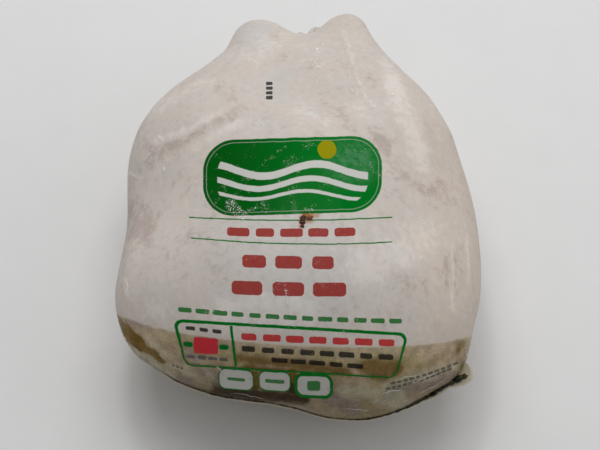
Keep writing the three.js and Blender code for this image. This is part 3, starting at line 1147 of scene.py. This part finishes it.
def addJuiceAndShade():
    along = np.linspace(*juiceAndShade["span"], juiceAndShade["points"])
    share = np.interp(along, *zip(*juiceAndShade["out"]))
    path = seamPath(seams["neckSeal"], along, share, juiceAndShade["rise"])
    piece = makePiece("trappedJuiceAndPaintedShade", path, edges=[(i, i + 1) for i in range(len(path) - 1)])
    first, last = juiceAndShade["radius"]
    values = {"firstRadius": first * mm, "lastRadius": last * mm, "thinned": juiceAndShade["thinned"],
              "lumps": juiceAndShade["lumps"], "spacing": juiceAndShade["spacing"] * mm, "sides": juiceAndShade["sides"]}
    grow(piece, values, *juiceAndShadeTree(values, juiceAndShadeMaterial()))
    finish(piece, "raw_skin")


def juiceAndShadeMaterial():
    material, tree, shader = newMaterial("darkJuiceAndPaintedShade")
    # nearly black: the juice's own colour with the crease's painted shade
    clots = speckle(tree, objectPlace(tree), 300.0, 4.0, 0.6)
    feedAll(tree, shader, {
        "Base Color": blendColour(tree, between(tree, clots, 0.4, 0.68), juiceAndShade["dark"], juiceAndShade["light"]),
        "Roughness": between(tree, clots, 0.3, 0.7, 0.15, 0.4),
        "Normal": bumped(tree, clots, 0.7, 0.001), "Specular IOR Level": 0.25,
    })
    return material


follicles = {
    "perSquareMetre": 80000.0,
    "size": (0.28, 0.6),            # mm
    "shade": 0.94,                  # how bright they are beside the skin
    "seed": 7,
}


def follicleTree(values, material):
    tree, ids, given, out = geometryTree("skinFollicles", values)
    shown = calc(tree, "GREATER_THAN", namedValue(tree, "bare"), 0.5)
    points = put(tree, "GeometryNodeDistributePointsOnFaces",
                 {"Mesh": given["Geometry"], "Selection": shown, "Density": given["density"],
                  "Seed": given["seed"]}).outputs
    dome = put(tree, "GeometryNodeMeshUVSphere", {"Segments": 6, "Rings": 4, "Radius": 1.0}).outputs[0]
    flat = put(tree, "GeometryNodeTransform", {"Geometry": dome, "Scale": (1.0, 1.0, 0.45)}).outputs[0]
    size = put(tree, "FunctionNodeRandomValue",
               {2: given["smallest"], 3: given["largest"], "Seed": given["seed"]}).outputs[1]
    domes = put(tree, "GeometryNodeInstanceOnPoints",
                {"Points": points[0], "Instance": flat, "Rotation": points["Rotation"], "Scale": size})
    closeTree(tree, domes.outputs[0], material, out)
    return tree, ids


def addFollicles(host):
    piece = addObject("skinFollicles", host.data.copy())
    smallest, largest = follicles["size"]
    values = {"density": follicles["perSquareMetre"], "smallest": smallest * mm, "largest": largest * mm,
              "seed": follicles["seed"]}
    grow(piece, values, *follicleTree(values, birdMaterial("follicleSkin", follicles["shade"])))
    finish(piece, "raw_skin")


clot = {
    "lumps": [                      # across, up, half size, height, all in mm
        (1.2, -0.4, 1.2, 0.6), (1.2, 1.4, 1.5, 0.8), (1.3, 3.0, 1.6, 0.9), (2.6, 4.5, 1.6, 0.7),
        (4.2, 4.7, 1.5, 0.6), (5.6, 4.3, 1.3, 0.5), (5.2, 3.3, 1.2, 0.5), (3.6, 3.5, 1.2, 0.4),
    ],
    "darkest": [((1.0, -0.8), (1.4, 3.2), 1.6), ((3.9, 3.2), (5.8, 3.5), 0.6)],
    "span": ((-1.5, 9.0), (-2.5, 7.5)),     # across, up
    "cells": 44,
    "sunk": (0.5, 1.4),             # mm below the film, of its thinnest places and its underside
    "thin": (colour(126, 72, 22), colour(182, 128, 66)),
    "thick": (colour(50, 18, 8), colour(98, 50, 24)),
}


def onFilm(across, up):
    # where the print's spots lie on the film, and which way the film faces there; a spot just
    # past the film's outline goes to its nearest place
    eye = printTarget + printBack * printView["away"]
    plane = (printTarget + np.outer(across * mm - printView["slide"][0], printRight)
             + np.outer(up * mm - printView["slide"][1], printUp))
    hits = [filmTree.ray_cast(Vector(eye), Vector(goal - eye)) for goal in plane]
    hits = [hit if hit[0] else filmTree.find_nearest(Vector(goal)) for hit, goal in zip(hits, plane)]
    return np.array([hit[0] for hit in hits]), np.array([hit[1] for hit in hits])


# thin ridges of pleated film; their pale colour is partly painted glints, and the bright glints are painted
# highlights
pleats = {
    "milkPleatsAndGlints": [                 # from, to (across, up), bow and half thickness, all in mm
        ((22.3, 90.6), (22.3, 89), 0, 0.2), ((23.2, 85), (23.5, 83.8), 0, 0.16),
        ((25.9, 77.7), (26, 75.1), 0.1, 0.22), ((30, 71), (30.2, 65.8), -0.2, 0.24),
        ((32.5, 67.6), (32.8, 66.6), 0, 0.2), ((78.8, -11), (79, -44), 0.5, 0.2),
        ((86.6, -6), (87.2, -32), 0.4, 0.18), ((-90.4, -28), (-88.8, -37), 0.3, 0.2),
        ((-88, 27.2), (-81, 24), -0.8, 0.18),
    ],
    # painted highlights: tiny ridges painted near white
    "brightGlints": [
        ((8, 91.4), (9.8, 91), 0.1, 0.34), ((8.8, 91.9), (9, 90.6), 0, 0.3),
        ((11.2, 94), (11.8, 93.5), 0, 0.22), ((5.7, 86.2), (6.6, 85.9), 0, 0.2),
        ((7.9, 85.9), (8.8, 85.6), 0, 0.24), ((8.2, 82.3), (10.3, 82), 0.1, 0.3),
        ((7.2, 81.6), (8.1, 81.4), 0, 0.2), ((5, 82.8), (5.6, 82.4), 0, 0.16),
        ((11.8, 83.2), (12.9, 84), 0, 0.15), ((-79.8, 35.5), (-76.9, 37.7), 0.1, 0.2),
        ((-70.2, 30.5), (-70.6, 27.6), 0, 0.22), ((47.4, 68.8), (48.2, 67.5), 0, 0.2),
    ],
    "clearPleatsAndGlints": [
        ((41, -88.2), (53, -85.4), 0.6, 0.35), ((41.4, -92.4), (47, -89.6), 0.4, 0.3),
        ((43.4, -90.4), (46.4, -85), -0.4, 0.3), ((49, -81), (62, -77.6), 0.5, 0.25),
        ((56, -82.6), (72, -75.4), -0.5, 0.25), ((60, -88), (76, -79), -0.6, 0.25),
        ((-86.6, -63.4), (-80.6, -68.2), 0.5, 0.35), ((-80.4, -68), (-70, -75), 0.4, 0.25),
        ((84.6, -60), (86.4, -72), 0.4, 0.35), ((-44, -73), (-39.6, -77.2), 0.3, 0.3),
        ((22, -94.8), (37, -96.6), 0.3, 0.25), ((-36, -87), (-18, -90.4), 0.4, 0.2),
    ],
    "looks": {
        "milkPleatsAndGlints": ("milkPleatAndGlint", colour(206, 197, 190), colour(238, 234, 228), 0.9),
        "brightGlints": ("brightGlint", colour(250, 248, 240), colour(255, 255, 252), 1.0),
        "clearPleatsAndGlints": ("clearPleatAndGlint", colour(176, 172, 156), colour(222, 220, 212), 0.55),
    },
    "wander": 0.7,                  # mm
    "spacing": 0.6,
    "sunk": 0.35,                   # share of its thickness below the film
    "sides": 8,
    "slender": 0.15,                # how thick its ends are beside its middle
}


def pleatTree(values, material):
    tree, ids, given, out = geometryTree("pleat", values)
    curve = put(tree, "GeometryNodeMeshToCurve", {"Mesh": given["Geometry"]}).outputs[0]
    share = put(tree, "GeometryNodeSplineParameter").outputs["Factor"]
    radius = times(tree, namedValue(tree, "half"), slimEnds(tree, share, 0.2, given["slender"]))
    closeTree(tree, tube(tree, curve, radius, given["sides"]), material, out)
    return tree, ids


def addPleats(name):
    places, edges, halves = [], [], []
    for (x0, y0), (x1, y1), bow, half in pleats[name]:
        length = math.hypot(x1 - x0, y1 - y0)
        t = np.linspace(0, 1, max(8, int(length / pleats["spacing"])))
        side = bow * 4 * t * (1 - t)
        across = x0 + (x1 - x0) * t - side * (y1 - y0) / length
        up = y0 + (y1 - y0) * t + side * (x1 - x0) / length
        flat = np.stack([across, up, np.zeros(len(t))], 1) * mm
        across = across + pleats["wander"] * noiseAt(flat, 3.2)
        up = up + pleats["wander"] * noiseAt(flat, 3.2, 7.0)
        spots, normals = onFilm(across, up)
        edges += [(len(places) + i, len(places) + i + 1) for i in range(len(t) - 1)]
        places += list(spots - normals * half * pleats["sunk"] * mm)
        halves += list(half * mm * (1 + 0.4 * noiseAt(flat, 2.4, 3.0)))
    piece = makePiece(name, places, edges=edges)
    setValues(piece, half=halves)
    values = {"sides": pleats["sides"], "slender": pleats["slender"]}
    grow(piece, values, *pleatTree(values, seamMaterial(*pleats["looks"][name])))
    finish(piece, "film")


def addClot():
    sides = [np.linspace(*span, clot["cells"]) for span in clot["span"]]
    across, up = (side.ravel() for side in np.meshgrid(*sides, indexing="ij"))
    spots, normals = onFilm(across, up)
    thinnest, underside = clot["sunk"]
    height = np.full(len(across), -thinnest)
    for atAcross, atUp, half, tall in clot["lumps"]:
        away = ((across - atAcross) ** 2 + (up - atUp) ** 2) / half ** 2
        height = np.maximum(height, (tall + thinnest) * np.exp(-away * 0.9) - thinnest)
    height += 0.35 * noiseAt(spots, 1.3) + 0.2 * noiseAt(spots, 0.6, 4.0)
    dark = streakDepth(across, up, clot["darkest"]) + 0.5 * noiseAt(spots, 1.0, 9.0)
    upper = spots + normals * (height * mm)[:, None]
    piece = makeSlab("brownClot", upper, spots - normals * underside * mm, clot["cells"])
    setValues(piece, dark=np.tile(dark, 2))
    piece.data.materials.append(clotMaterial())
    finish(piece, "raw_skin")


def clotMaterial():
    material, tree, shader = newMaterial("driedBlood")
    lumps = speckle(tree, objectPlace(tree), 700.0, 3.0)
    thin = blendColour(tree, between(tree, lumps, 0.35, 0.65), *clot["thin"])
    thick = blendColour(tree, between(tree, lumps, 0.4, 0.7), *clot["thick"])
    feedAll(tree, shader, {
        "Base Color": blendColour(tree, between(tree, pointValue(tree, "dark"), -0.6, 0.3), thin, thick),
        "Roughness": between(tree, lumps, 0.3, 0.7, 0.25, 0.5), "Coat Weight": 0.25,
        "Normal": bumped(tree, lumps, 0.6, 0.0006), "Specular IOR Level": 0.3,
    })
    return material


studio = {
    "floor": (colour(240, 240, 240), colour(234, 234, 234)),
    "key": ((0.0, 0.5, 1.0), 0.9, 5.5),         # place, size, power
    "spark": ((-0.1, 0.45, 1.0), 0.13, 1.0),
    "side": ((0.9, 0.0, 0.65), 0.9, 1.3),
    "world": 0.31,
    "sensor": 36.0,                 # mm, as the next
    "lens": 81.1,
}


def addLight(name):
    at, size, power = studio[name]
    data = bpy.data.lights.new(name, "AREA")
    data.size = size
    data.energy = power
    lamp = addObject(name, data)
    lamp.location = at
    lamp.rotation_euler = (Vector(printTarget) - Vector(at)).to_track_quat("-Z", "Y").to_euler()


def addStudio():
    floor = makePiece("floor", [(-3.0, -3.0, 0.0), (3.0, -3.0, 0.0), (3.0, 3.0, 0.0), (-3.0, 3.0, 0.0)],
                      [(0, 1, 2, 3)])
    material, tree, shader = newMaterial("paleFloor")
    grain = speckle(tree, objectPlace(tree), 30.0)
    feed(tree, shader.inputs["Base Color"], blendColour(tree, grain, *studio["floor"]))
    shader.inputs["Roughness"].default_value = 0.9
    floor.data.materials.append(material)
    for name in ("key", "spark", "side"):
        addLight(name)
    world = bpy.data.worlds.new("studio")
    world.use_nodes = True
    sky = world.node_tree.nodes["Background"].inputs
    sky["Strength"].default_value = studio["world"]
    sky["Color"].default_value = grey(1.0)
    bpy.context.scene.world = world
    bpy.context.scene.view_settings.view_transform = "Standard"
    print("floor and lights set")


def addCamera():
    data = bpy.data.cameras.new("camera")
    data.sensor_width = studio["sensor"]
    data.lens = studio["lens"]
    pictureWidth = printView["away"] * data.sensor_width / data.lens
    data.shift_x, data.shift_y = (-slide / pictureWidth for slide in printView["slide"])
    camera = addObject("camera", data)
    camera.location = Vector(printTarget + printBack * printView["away"])
    camera.rotation_euler = Vector(printBack).to_track_quat("Z", "Y").to_euler()
    bpy.context.scene.camera = camera
    print("camera set")


addCamera()
addStudio()
filmPiece = addFilm()
birdPiece = addBird()
addFollicles(birdPiece)
addSeam("neckSeal")
addSeam("ventSeal")
addJuiceAndShade()
filmTree = BVHTree.FromPolygons([corner.co for corner in filmPiece.data.vertices],
                                [face.vertices for face in filmPiece.data.polygons])
for pleatKind in pleats["looks"]:
    addPleats(pleatKind)
addClot()
